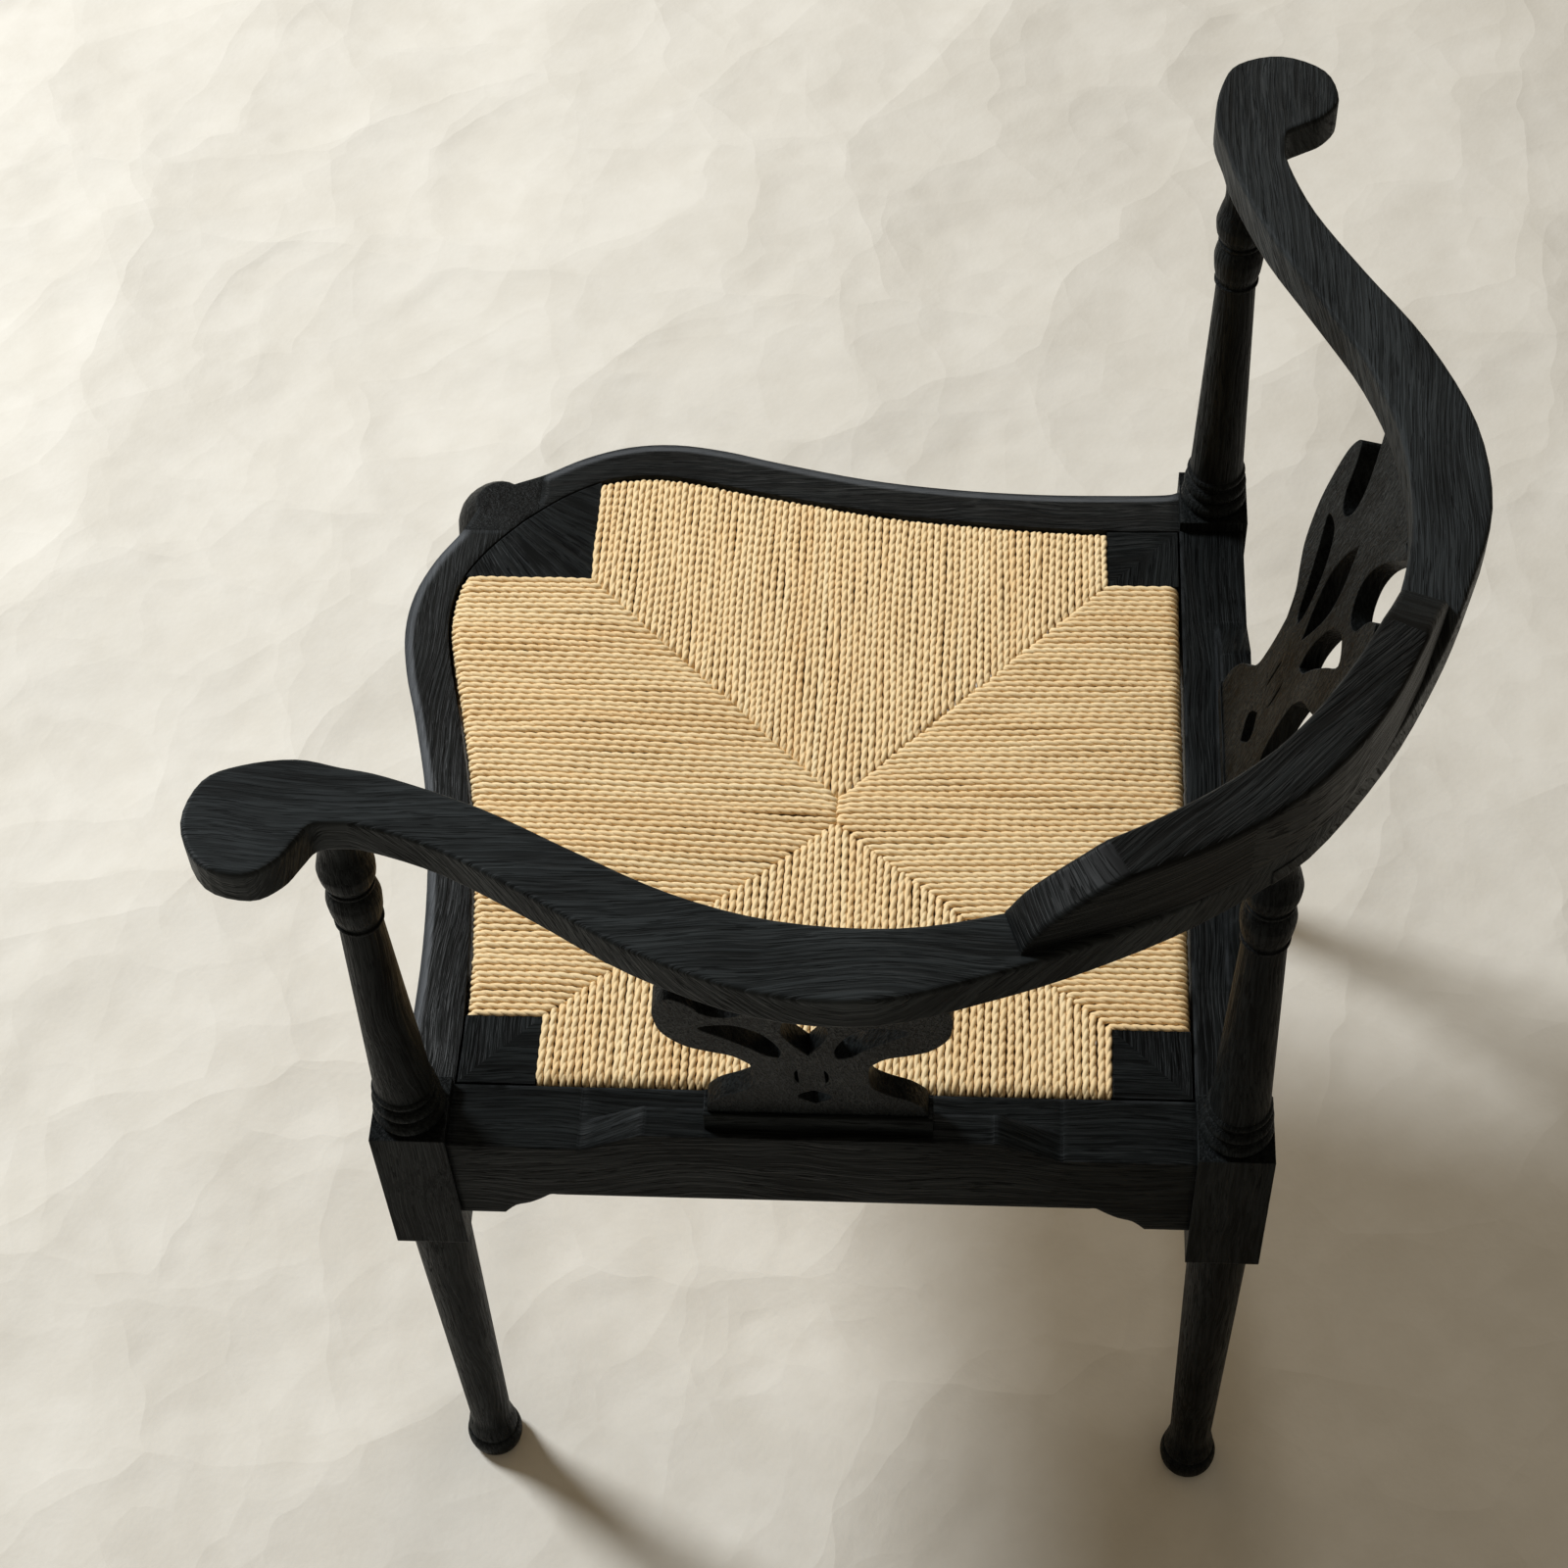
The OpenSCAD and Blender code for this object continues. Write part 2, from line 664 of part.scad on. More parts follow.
// Stands a board drawn in plan on the left shoe, leaning out to the arm; grow thickens it
module splat_board(grow = 0)
    square_frame() translate([0, splat_foot_y, shoe_top]) rotate([90 - splat_rake, 0, 0])
        translate([0, 0, -splat_t / 2 - grow]) linear_extrude(splat_t + 2 * grow) children();

// The outline was measured on a splat 264 mm long, and stretches with the real one
stretch = splat_len / 264;
function from_foot(x, up) = [x, stretch * up];
function from_head(x, down) = [x, splat_len - stretch * down];

// Right half of the outline from the foot to the head
splat_side = concat(
    [[splat_foot_w, -splat_in]],
    spline([from_foot(splat_foot_w, 2), from_foot(splat_foot_w - 1.2, 15), from_foot(splat_foot_w - 9, 32),
        from_foot(waist_w + 9, 44), from_foot(waist_w + 1, 57), from_foot(waist_w - 1, 74),
        from_foot(waist_w - 1, 90)], 4),
    spline([from_foot(waist_w, 102), from_foot(waist_w + 8, 117), from_foot(ear_w - 23, 125),
        from_foot(ear_w - 13, 133), from_foot(ear_w - 6, 146), from_foot(ear_w - 1.5, 161),
        from_foot(ear_w, 179), from_foot(ear_w - 0.5, 198), from_head(ear_w - 4, 53.5),
        from_head(ear_w - 9.5, 45.5), from_head(ear_w - 15.5, 50), from_head(ear_w - 20.5, 59),
        from_head(ear_w - 24, 69), from_head(ear_w - 30, 75), from_head(ear_w - 38, 75),
        from_head(ear_w - 44.5, 68), from_head(ear_w - 47.5, 56), from_head(head_w - 26, 39),
        from_head(head_w - 14, 19), from_head(head_w - 4, 6), from_head(head_w, 0)], 4)
);

side_slot = spline([
    from_foot(15, 116), from_foot(22, 120), from_foot(31, 136), from_foot(42, 152), from_foot(53, 168),
    from_foot(42, 175), from_foot(32, 173), from_foot(22, 160), from_foot(16, 143), from_foot(13.5, 127),
    from_foot(15, 116)
], 4);

slit = spline([
    from_foot(7, 66), from_foot(8.6, 71), from_foot(9, 79), from_foot(8.6, 87), from_foot(7, 92),
    from_foot(7, 79), from_foot(7, 66)
], 3);

module pointed_eye(low, high, w) {
    side = spline([from_foot(0, low), from_foot(w, 0.6 * low + 0.4 * high),
        from_foot(0.9 * w, 0.3 * low + 0.7 * high), from_foot(0, high)], 5);
    polygon(concat(side, reversed([for (p = side) [-p[0], p[1]]])));
}

module splat_plan() difference() {
    polygon(concat(splat_side, reversed([for (p = splat_side) [-p[0], p[1]]])));
    for (side = [0, 1]) mirror([side, 0]) {
        polygon(side_slot);
        polygon(slit);
    }
    pointed_eye(121, 207, 11);
    pointed_eye(24, 52, 8.5);
}

// The stretch of board that is let into the arm
module splat_head(grow = 0) translate([-0.8 * head_w - grow, splat_len - 4])
    square([1.6 * head_w + 2 * grow, splat_in + 4 + (grow > 0 ? mortise_end : 0)]);

module splat_foot(grow = 0) translate([-splat_foot_w - grow, -splat_in - grow])
    square([2 * (splat_foot_w + grow), splat_in + 4]);

module splat() intersection() {
    union() {
        splat_board() splat_plan();
        splat_board() splat_head();
    }
    union() {
        span([-2 * post_r, -2 * post_r, 0], [2 * post_r, 2 * post_r, arm_bottom]);
        splat_board() splat_head();
    }
}

module splat_left() color(black) splat();
module splat_right() color(black) mirror([1, 0, 0]) splat();

module shoe() difference() {
    square_frame() translate([-shoe_w, splat_foot_y - shoe_d / 2 + 0.5, platform_top]) rotate([90, 0, 90])
        linear_extrude(2 * shoe_w) polygon(concat(
            [[0, 0], [shoe_d, 0], [shoe_d, 0.45 * shoe_h]],
            arc([shoe_d - 1.2, shoe_h - 2.5], 1.5, -60, 90, 5),
            [[0, shoe_h]]
        ));
    splat_board(fit) splat_foot(fit);
}

module shoe_left() color(black) shoe();
module shoe_right() color(black) mirror([1, 0, 0]) shoe();

// Glue blocks in the frame's corners, which also carry the seat

module corner_triangle(w) polygon([[opening, opening], [opening - w, opening], [opening, opening - w]]);

module glue_block(turn) color(inner_wood) square_frame() difference() {
    intersection() {
        slab(glue_block_top - glue_block_h, glue_block_top) rotate(turn) corner_triangle(glue_block_w);
        slab(0, frame_top) polygon(opening_outline);
    }
    glue_screws(fit);
}

// The front block's inner face crosses the corner where the seat's corner piece ends
front_block_face = opening - seat_corner - 2;

module glue_block_front() color(inner_wood) square_frame() difference() {
    intersection() {
        slab(glue_block_top - glue_block_h, glue_block_top) polygon(opening_outline);
        slab(0, frame_top) polygon([
            [2 * front_block_face - 2 * half, -2 * half], [2 * half, -2 * half],
            [2 * half, 2 * half - 2 * front_block_face]
        ]);
    }
    glue_screws(fit);
}

module glue_block_left() glue_block(0);
module glue_block_back() glue_block(90);
module glue_block_right() glue_block(180);

// Drop-in seat: four corner pieces joined by four sticks, wrapped in cord over a stuffing

// A square prism over the seat's corner, and one over the stretch between two corners
module corner_prism(turn, low, high, grow = 0)
    slab(low, high) rotate(turn) translate([seat_inner - grow, seat_inner - grow]) square(2 * half);

// The open line p moved towards the seat's middle by d
function moved_in(p, d) = [
    for (i = [0:len(p) - 1])
        let (e = unit(nth(p, i + 1) - nth(p, i - 1)))
        p[i] + d * [-e[1], e[0]]
];

front_stick_line = [for (q = front_inner) if (abs(q[0]) < seat_inner + 26) q];

// A bar along one side of the seat, straight at the rear and bent like the rail at the front
module side_bar(side, out, width, low, high, reach) {
    if (side < 2)
        mirror([side, side, 0]) span([-reach, opening - out - width, low], [reach, opening - out, high]);
    else
        mirror([side - 2, side - 2, 0]) intersection() {
            slab(low, high) polygon(concat(
                moved_in(front_stick_line, out), reversed(moved_in(front_stick_line, out + width))
            ));
            span([-reach, -2 * half, 0], [reach, 0, block_top]);
        }
}

module seat_stick(side, grow = 0)
    side_bar(side, stick_out - grow, stick_w + 2 * grow, stick_bottom - grow, stick_top + grow, seat_inner + grow);

module stick_tenons(side, grow = 0) {
    middle = (stick_top + stick_bottom) / 2;
    side_bar(side, stick_out + stick_tenon_inset - grow, stick_w - 2 * stick_tenon_inset + 2 * grow,
        middle - stick_tenon_h / 2 - grow, middle + stick_tenon_h / 2 + grow,
        seat_inner + stick_tenon_l + (grow > 0 ? mortise_end : 0));
}

module stick(side) color(inner_wood) square_frame() {
    seat_stick(side);
    stick_tenons(side);
}

module seat_stick_rear_left() stick(0);
module seat_stick_rear_right() stick(1);
module seat_stick_front_right() stick(2);
module seat_stick_front_left() stick(3);

// The corner pieces are numbered like the sides that start at them
module seat_corner_piece(side) color(black) square_frame() difference() {
    intersection() {
        slab(seat_bottom, frame_top) polygon(inset(opening_outline, seat_gap));
        corner_prism(90 * side, 0, block_top);
    }
    stick_tenons(side, fit);
    stick_tenons((side + 3) % 4, fit);
}

module seat_corner_left() seat_corner_piece(0);
module seat_corner_back() seat_corner_piece(1);
module seat_corner_right() seat_corner_piece(2);
module seat_corner_front() seat_corner_piece(3);

// Four triangles of stuffing between the upper and lower cords
module stuffing_set(grow = 0) {
    reach = opening - stick_out - stick_w - 6;
    middle = (stick_top - weave_dip + stick_bottom) / 2;
    for (turn = [0:90:270]) rotate([0, 0, turn])
        slab(middle - stuffing_h / 2 - grow, middle + stuffing_h / 2 + grow)
            polygon([[0, 14 - 2 * grow], [reach - 14 + 2 * grow, reach + grow],
                [14 - reach - 2 * grow, reach + grow]]);
}

module seat_stuffing() color(card) square_frame() stuffing_set();

// The dip is a shallow upside-down pyramid whose corners lie on the diagonals
module weave_dish() {
    r = seat_inner + 10;
    polyhedron(
        points = [[r, r, weave_top + 0.5], [-r, r, weave_top + 0.5], [-r, -r, weave_top + 0.5],
            [r, -r, weave_top + 0.5], [0, 0, weave_top - weave_dip]],
        faces = [[0, 3, 2, 1], [0, 1, 4], [1, 2, 4], [2, 3, 4], [3, 0, 4]]
    );
}

module woven_seat() color(straw) square_frame() difference() {
    slab(weave_bottom, weave_top) polygon(inset(opening_outline, weave_gap));
    for (turn = [0:90:270]) corner_prism(turn, 0, block_top, seat_rest);
    weave_dish();
    for (side = [0:3]) seat_stick(side, fit);
    stuffing_set(fit);
}

front_leg();
left_post();
back_post();
right_post();
front_rail_left();
front_rail_right();
rear_rail_left();
rear_rail_right();
shoe_left();
shoe_right();
splat_left();
splat_right();
arm_left();
arm_right();
crest_rail();
crest_screws();
glue_block_front();
glue_block_left();
glue_block_back();
glue_block_right();
glue_block_screws();
seat_corner_front();
seat_corner_left();
seat_corner_back();
seat_corner_right();
seat_stick_front_left();
seat_stick_front_right();
seat_stick_rear_left();
seat_stick_rear_right();
seat_stuffing();
woven_seat();
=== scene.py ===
import math

import bpy
import numpy as np
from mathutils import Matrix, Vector


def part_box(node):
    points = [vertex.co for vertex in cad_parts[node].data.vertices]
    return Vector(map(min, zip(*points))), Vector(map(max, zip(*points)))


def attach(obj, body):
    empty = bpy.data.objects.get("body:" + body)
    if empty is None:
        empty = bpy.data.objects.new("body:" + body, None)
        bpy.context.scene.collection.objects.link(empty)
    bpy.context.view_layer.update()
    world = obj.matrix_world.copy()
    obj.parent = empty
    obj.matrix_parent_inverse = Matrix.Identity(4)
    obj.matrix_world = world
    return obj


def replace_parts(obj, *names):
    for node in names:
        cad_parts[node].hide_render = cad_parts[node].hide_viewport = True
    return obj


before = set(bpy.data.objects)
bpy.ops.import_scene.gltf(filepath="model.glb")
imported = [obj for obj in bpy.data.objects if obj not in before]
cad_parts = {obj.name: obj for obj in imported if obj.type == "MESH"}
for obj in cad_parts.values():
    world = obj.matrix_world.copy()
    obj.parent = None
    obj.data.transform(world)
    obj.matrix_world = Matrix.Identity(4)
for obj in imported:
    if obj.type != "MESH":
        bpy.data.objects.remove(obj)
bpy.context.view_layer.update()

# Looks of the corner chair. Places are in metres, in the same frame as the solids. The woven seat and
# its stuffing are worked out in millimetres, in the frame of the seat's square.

MM = 0.001
ROOT_HALF = math.sqrt(0.5)


# Camera, worked out from the square of the seat and the upright posts in the photograph

CAMERA_PLACE = (0.7212, 0.8414, 1.9606)
CAMERA_TURN = (35.895, 2.241, 137.933)
CAMERA_LENS = 73.09
CAMERA_SENSOR = 36

camera_data = bpy.data.cameras.new("camera")
camera_data.sensor_width = CAMERA_SENSOR
camera_data.lens = CAMERA_LENS
camera = bpy.data.objects.new("camera", camera_data)
camera.location = CAMERA_PLACE
camera.rotation_euler = [math.radians(angle) for angle in CAMERA_TURN]
bpy.context.collection.objects.link(camera)
bpy.context.scene.camera = camera


# Material building

# Rays that feel for an edge near each point
BEVEL_SAMPLES = 4


class Shader:
    """A material with one Principled shader, built up node by node."""

    def __init__(self, name):
        self.material = bpy.data.materials.new(name)
        self.material.use_nodes = True
        self.tree = self.material.node_tree
        self.tree.nodes.clear()
        output = self.tree.nodes.new("ShaderNodeOutputMaterial")
        self.surface = self.tree.nodes.new("ShaderNodeBsdfPrincipled")
        self.tree.links.new(self.surface.outputs[0], output.inputs[0])

    def node(self, kind, inputs=None, **settings):
        made = self.tree.nodes.new(kind)
        for key, value in settings.items():
            setattr(made, key, value)
        for key, value in (inputs or {}).items():
            self.put(made.inputs[key], value)
        return made

    def put(self, socket, value):
        if isinstance(value, bpy.types.NodeSocket):
            self.tree.links.new(value, socket)
        else:
            socket.default_value = value

    def math(self, operation, a, b=0.0):
        return self.node("ShaderNodeMath", {0: a, 1: b}, operation=operation).outputs[0]

    def times(self, a, b):
        return self.math("MULTIPLY", a, b)

    def weighted(self, *pairs):
        """Sum of some values, each times its share."""
        products = [self.times(value, share) for value, share in pairs]
        total = products[0]
        for product in products[1:]:
            total = self.math("ADD", total, product)
        return total

    def mix(self, factor, a, b):
        """A colour between two colours."""
        return self.node("ShaderNodeMix", {0: factor, 6: a, 7: b}, data_type="RGBA").outputs[2]

    def blend(self, factor, a, b):
        """A number between two numbers."""
        return self.node("ShaderNodeMix", {0: factor, 2: a, 3: b}, data_type="FLOAT").outputs[0]

    def steps(self, value, low, high):
        """0 below low, 1 above high, and a smooth rise between them."""
        inputs = {0: value, 1: low, 2: high}
        return self.node("ShaderNodeMapRange", inputs, interpolation_type="SMOOTHSTEP").outputs[0]

    def noise(self, vector, scale=1.0, detail=2.0, roughness=0.5, distortion=0.0):
        inputs = {"Vector": vector, "Scale": scale, "Detail": detail, "Roughness": roughness}
        inputs["Distortion"] = distortion
        return self.node("ShaderNodeTexNoise", inputs).outputs[0]

    def cells(self, vector, scale):
        """Distance to the nearest of some scattered points, so cones with sharp creases between them."""
        return self.node("ShaderNodeTexVoronoi", {"Vector": vector, "Scale": scale}).outputs["Distance"]

    def parts(self, vector):
        return self.node("ShaderNodeSeparateXYZ", {0: vector}).outputs

    def joined(self, x, y, z):
        return self.node("ShaderNodeCombineXYZ", {0: x, 1: y, 2: z}).outputs[0]

    def vector_math(self, operation, *vectors):
        return self.node("ShaderNodeVectorMath", dict(enumerate(vectors)), operation=operation).outputs

    def scaled(self, vector, size):
        return self.vector_math("MULTIPLY", vector, size)[0]

    def dot(self, a, b):
        return self.vector_math("DOT_PRODUCT", a, b)["Value"]

    def place(self):
        return self.node("ShaderNodeTexCoord").outputs["Object"]

    def plain_normal(self):
        return self.node("ShaderNodeNewGeometry").outputs["Normal"]

    def soft_normal(self, radius):
        """The normal as if every edge were rounded with this radius."""
        return self.node("ShaderNodeBevel", {"Radius": radius}, samples=BEVEL_SAMPLES).outputs[0]

    def attribute(self, name):
        return self.node("ShaderNodeAttribute", attribute_name=name).outputs["Fac"]

    def bump(self, height, strength, distance, normal=None):
        inputs = {"Strength": strength, "Distance": distance, "Height": height}
        if normal is not None:
            inputs["Normal"] = normal
        return self.node("ShaderNodeBump", inputs).outputs[0]

    def finish(self, **values):
        for key, value in values.items():
            self.put(self.surface.inputs[key.replace("_", " ")], value)
        return self.material


# Grain. Each of these gives the place in the wood: along the grain, across it and through it.

# Shares of the height in the place across and through a board
SHEAR = 0.4
THROUGH = 0.1
# Least sideways tilt of a face that counts as a ramp
RAMP_TILT = 0.2
# Where the fan's lines start, in front of the chair's middle, and the radius at which they are as close
# as those of a straight board
FAN_START = 0.40
FAN_RADIUS = 0.08


def board(shader, along, across, up):
    """Grain of a flat board; height is sheared in, so that ramps and upright faces are lined as well."""
    sheared = shader.math("ADD", across, shader.times(up, SHEAR))
    return shader.joined(along, sheared, shader.times(up, THROUGH))


def grain_along(direction):
    """Grain that runs straight along a direction of the floor plan."""
    turn = math.atan2(direction[1], direction[0])

    def vector(shader):
        made = shader.node("ShaderNodeMapping", {"Vector": shader.place(), "Rotation": (0, 0, -turn)})
        return board(shader, *shader.parts(made.outputs[0]))
    return vector


def grain_upright(shader):
    x, y, z = shader.parts(shader.place())
    return shader.joined(z, x, y)


def grain_stacked(shader):
    """A board across the chair, whose level layers show as lines across each ramp."""
    x, y, z = shader.parts(shader.place())
    sideways = shader.parts(shader.plain_normal())[0]
    ramp = shader.math("GREATER_THAN", shader.math("ABSOLUTE", sideways), RAMP_TILT)
    return board(shader, shader.blend(ramp, x, y), shader.blend(ramp, y, z), shader.blend(ramp, z, 0.0))


def grain_mitred(shader):
    """Two boards that meet on the diagonal of a seat corner."""
    x, y, z = shader.parts(shader.place())
    u = shader.times(shader.math("SUBTRACT", x, y), ROOT_HALF)
    v = shader.times(shader.math("ADD", x, y), ROOT_HALF)
    first = shader.math("GREATER_THAN", shader.math("ABSOLUTE", u), shader.math("ABSOLUTE", v))
    return board(shader, shader.blend(first, u, v), shader.blend(first, v, u), z)


def grain_fan(shader):
    """Grain that spreads from the front corner."""
    x, y, z = shader.parts(shader.place())
    back = shader.math("ADD", y, FAN_START)
    bearing = shader.math("ARCTAN2", x, back)
    square = shader.math("ADD", shader.times(x, x), shader.times(back, back))
    return board(shader, shader.math("SQRT", square), shader.times(bearing, FAN_RADIUS), z)


# Wood

# How often each layer of the wood's figure repeats in a metre, along the grain and across it
CLOUDS = (9.0, 30.0, 30.0)
RINGS = (5.0, 130.0, 130.0)
STREAKS = (20.0, 520.0, 520.0)
PORES = (55.0, 1100.0, 1100.0)
# Bends of the grain: how many to the metre, and their size
BENDS = 6.0
BEND_SIZE = 0.03
# How far the normal turns at an edge where the edge colour begins and where it is full, and the noise
# that breaks it up. The edge colour is partly scuffing and partly a painted highlight along the edges.
EDGE_TURN = (0.05, 0.22)
EDGE_PATCHES = (0.34, 0.58)
PATCHES = 60.0

# Dark, light and edge colour of each finish; the edge colour is partly scuffing and partly a painted
# highlight along the edges. Then the colour of the highlight painted along the front rails' outer top
# edge
EDGE_WEAR_AND_HIGHLIGHT = (0.085, 0.095, 0.105, 1)
BLACK = (0.0010, 0.0012, 0.0012, 1), (0.0145, 0.0172, 0.0182, 1), EDGE_WEAR_AND_HIGHLIGHT
# The arms are painted lighter, standing in for the window's sheen on their tops
ARM_PAINTED_SHEEN = (0.0060, 0.0070, 0.0074, 1), (0.0310, 0.0365, 0.0395, 1), EDGE_WEAR_AND_HIGHLIGHT
BARE = (0.30, 0.19, 0.10, 1), (0.46, 0.32, 0.19, 1), (0.52, 0.38, 0.24, 1)
# Painted highlight along the front rails' outer top edge, for the light that a rounded edge would catch
PAINTED_EDGE_HIGHLIGHT = (0.145, 0.158, 0.175, 1)


def wood_figure(shader, grain):
    """Cloudy places, broad rings, fine streaks and short pores, all drawn out along the grain."""
    bend = shader.times(shader.noise(shader.place(), BENDS), BEND_SIZE)
    vector = shader.vector_math("ADD", grain(shader), shader.joined(0.0, bend, 0.0))[0]
    clouds = shader.noise(shader.scaled(vector, CLOUDS), detail=3.0)
    rings = shader.noise(shader.scaled(vector, RINGS), detail=3.0, roughness=0.6, distortion=0.5)
    streaks = shader.noise(shader.scaled(vector, STREAKS), roughness=0.6, distortion=0.2)
    pores = shader.noise(shader.scaled(vector, PORES), detail=1.0)
    porous = shader.times(shader.steps(pores, 0.56, 0.68), shader.steps(rings, 0.3, 0.6))
    return (
        shader.steps(clouds, 0.35, 0.65), shader.steps(rings, 0.38, 0.64),
        shader.steps(streaks, 0.40, 0.62), porous,
    )


def edge_wear_and_highlight(shader, soft):
    """How much of the edge colour an edge gets, broken up by noise: partly scuffing, partly a painted
    highlight on the edge.
    """
    turned = shader.math("SUBTRACT", 1.0, shader.dot(soft, shader.plain_normal()))
    patchy = shader.noise(shader.place(), PATCHES, detail=3.0)
    return shader.times(shader.steps(turned, *EDGE_TURN), shader.steps(patchy, *EDGE_PATCHES))


def painted_highlight_band(shader, soft, outward):
    """Where the highlight is painted: 1 on the upper side of a rail's outer edge, which a rounded edge
    would light up, and 0 on the edges of its ends.
    """
    facing = shader.steps(shader.dot(soft, outward), 0.04, 0.17)
    rising = shader.steps(shader.parts(soft)[2], 0.4, 0.7)
    return shader.times(facing, rising)


def grain_wood(name, grain, colours, gloss, edge_share, softened, sheen, outward=None):
    """Open-pored wood; softened is how far its edges look rounded."""
    shader = Shader(name)
    dark, light, edge_colour = colours
    clouds, rings, streaks, pores = wood_figure(shader, grain)
    soft = shader.soft_normal(softened)
    tone = shader.weighted((rings, 0.25), (streaks, 0.4), (clouds, 0.35))
    colour = shader.mix(tone, dark, light)
    pore_colour = [0.5 * share for share in dark[:3]] + [1]
    colour = shader.mix(shader.times(pores, 0.6), colour, pore_colour)
    # Edge colour: scuffing, and a painted highlight where the rounded edges would catch the light
    colour = shader.mix(shader.times(edge_wear_and_highlight(shader, soft), edge_share), colour, edge_colour)
    if outward:
        # Painted highlight along the front rails' outer top edge
        colour = shader.mix(painted_highlight_band(shader, soft, outward), colour, PAINTED_EDGE_HIGHLIGHT)
    height = shader.math("SUBTRACT", shader.weighted((streaks, 0.6), (rings, 0.4)), pores)
    rough = shader.math("SUBTRACT", gloss, shader.times(tone, 0.12))
    rough = shader.math("ADD", rough, shader.times(pores, 0.2))
    normal = shader.bump(height, strength=0.6, distance=0.0008, normal=soft)
    return shader.finish(Base_Color=colour, Roughness=rough, Specular_IOR_Level=sheen, Normal=normal)


def black_wood(name, grain, colours=BLACK, softened=0.0012, sheen=0.035, outward=None):
    return grain_wood(
        name, grain, colours, gloss=0.48, edge_share=0.35, softened=softened, sheen=sheen, outward=outward,
    )


def bare_wood(name, grain):
    return grain_wood(name, grain, BARE, gloss=0.7, edge_share=0.3, softened=0.001, sheen=0.3)


# The other materials

def steel():
    shader = Shader("steel")
    scratches = shader.noise(shader.scaled(shader.place(), (900.0, 900.0, 900.0)), detail=3.0)
    colour = shader.mix(scratches, (0.42, 0.42, 0.43, 1), (0.58, 0.58, 0.59, 1))
    rough = shader.blend(scratches, 0.28, 0.42)
    normal = shader.soft_normal(0.0004)
    return shader.finish(Base_Color=colour, Metallic=1.0, Roughness=rough, Normal=normal)


def paper_cord():
    """Twisted kraft paper: each cord has its own tone, and shade is painted into the crevices between
    cords and plies.
    """
    shader = Shader("paper_cord")
    place = shader.place()
    patches = shader.noise(place, 55.0, detail=3.0)
    fibres = shader.noise(place, 1300.0, detail=3.0, roughness=0.6)
    tone = shader.weighted((shader.attribute("tone"), 0.55), (patches, 0.45))
    colour = shader.mix(tone, (0.90, 0.645, 0.337, 1), (0.99, 0.825, 0.525, 1))
    flecks = shader.times(shader.steps(fibres, 0.55, 0.8), 0.3)
    colour = shader.mix(flecks, colour, (0.52, 0.34, 0.17, 1))
    # Painted shade in the crevices between cords and plies
    colour = shader.mix(shader.times(shader.attribute("groove_shade"), 0.8), colour, (0.36, 0.17, 0.04, 1))
    normal = shader.bump(fibres, strength=0.4, distance=0.00025)
    return shader.finish(Base_Color=colour, Roughness=0.72, Specular_IOR_Level=0.2, Normal=normal)


def card():
    shader = Shader("card")
    fibres = shader.noise(shader.scaled(shader.place(), (300.0, 300.0, 900.0)), detail=4.0)
    colour = shader.mix(fibres, (0.34, 0.20, 0.075, 1), (0.46, 0.29, 0.12, 1))
    normal = shader.bump(fibres, strength=0.5, distance=0.0006)
    return shader.finish(Base_Color=colour, Roughness=0.9, Normal=normal)


# Folds of the floor paper: how many to the metre, and their share of the height
FOLDS = [(2.6, 0.6), (6.7, 0.18), (15.0, 0.05)]


def floor_paper():
    """Pale paper that was crumpled and smoothed out again."""
    shader = Shader("floor_paper")
    place = shader.place()
    wobble = shader.node("ShaderNodeTexNoise", {"Vector": place, "Scale": 5.0, "Detail": 3.0})
    bent = shader.vector_math("MULTIPLY_ADD", wobble.outputs["Color"], (0.12, 0.12, 0.12), place)[0]
    hills = shader.noise(place, 1.3)
    folds = [(shader.cells(bent, count), share) for count, share in FOLDS]
    fine = shader.noise(place, 220.0, detail=3.0)
    height = shader.weighted((hills, 1.0), *folds, (fine, 0.004))
    mottle = shader.steps(shader.noise(place, 14.0, detail=5.0, roughness=0.65), 0.3, 0.7)
    colour = shader.mix(mottle, (0.715, 0.690, 0.628, 1), (0.765, 0.745, 0.690, 1))
    normal = shader.bump(height, strength=0.7, distance=0.07)
    return shader.finish(Base_Color=colour, Roughness=0.85, Specular_IOR_Level=0.2, Normal=normal)


# The solids that stay get wood or steel, with the grain along each piece

# The rear left rail and the front right one lie one way, and the other two rails the other way
along_rear_left = grain_along((1, -1))
along_rear_right = grain_along((1, 1))
# Ways that the front rails' outer faces look
OUT_RIGHT = (-0.7, -0.7, 0)
OUT_LEFT = (0.7, -0.7, 0)

upright = black_wood("black_wood_upright", grain_upright)
knee = black_wood("black_wood_knee", grain_upright, softened=0.006, sheen=0.1)
left_way = black_wood("black_wood_left", along_rear_left)
right_way = black_wood("black_wood_right", along_rear_right)
left_rear = black_wood("black_wood_left_rear", along_rear_left, softened=0.005)
right_rear = black_wood("black_wood_right_rear", along_rear_right, softened=0.005)
# The front rails' materials also paint a highlight along their outer top edge
right_front = black_wood("black_wood_left_rounded", along_rear_left, BLACK, 0.009, 0.1, OUT_RIGHT)
left_front = black_wood("black_wood_right_rounded", along_rear_right, BLACK, 0.009, 0.1, OUT_LEFT)
